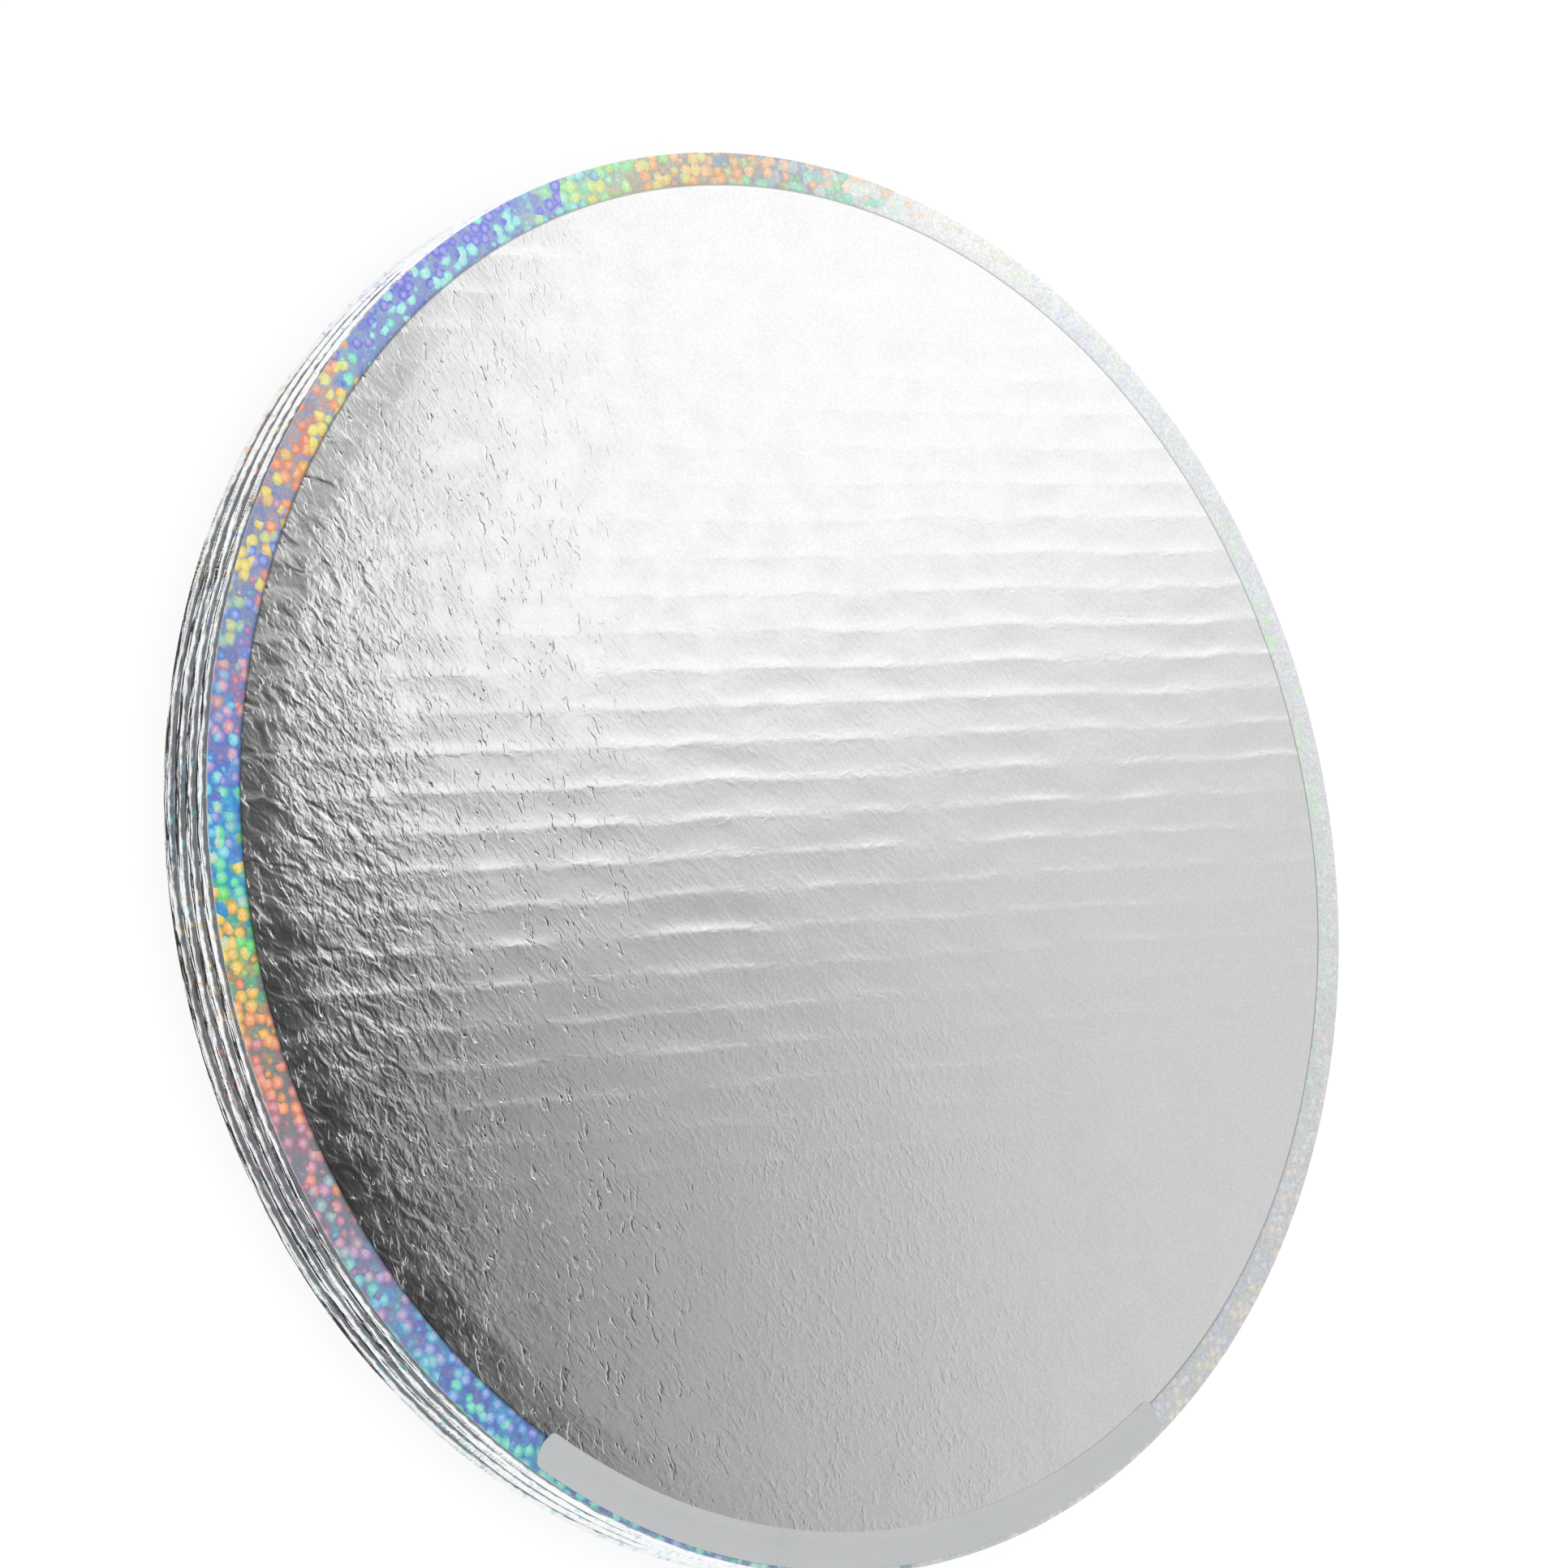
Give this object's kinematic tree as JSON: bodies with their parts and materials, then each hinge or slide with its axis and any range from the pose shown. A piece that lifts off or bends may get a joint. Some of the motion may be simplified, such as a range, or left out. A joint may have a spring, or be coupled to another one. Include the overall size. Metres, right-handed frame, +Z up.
{
  "type": "cake drum board",
  "caption": "Round corrugated cake board covered in silver foil, with a rippled silver paper disc on its face and a textured foil rim, made to carry a decorated cake",
  "frame": {"origin": "centre of the underside", "axes": "+Z up out of the show side, +X along the flutes of the board"},
  "size_m": [0.3048, 0.3048, 0.0174],
  "materials": {
    "holographic_foil": "metallised film on paper, embossed with a pebbled rainbow pattern",
    "corrugated_board": "brown single-wall corrugated board, uncoated",
    "silver_paper": "metallised paper, glossy, with a fine twill emboss",
    "sticker_paper": "pale grey satin label paper, unprinted"
  },
  "bodies": {
    "root": {"foil_wrap": "holographic_foil", "core_sheet_1": "corrugated_board", "core_sheet_2": "corrugated_board", "core_sheet_3": "corrugated_board", "core_sheet_4": "corrugated_board", "face_disc": "silver_paper", "sticker": "sticker_paper"}
  },
  "joints": []
}
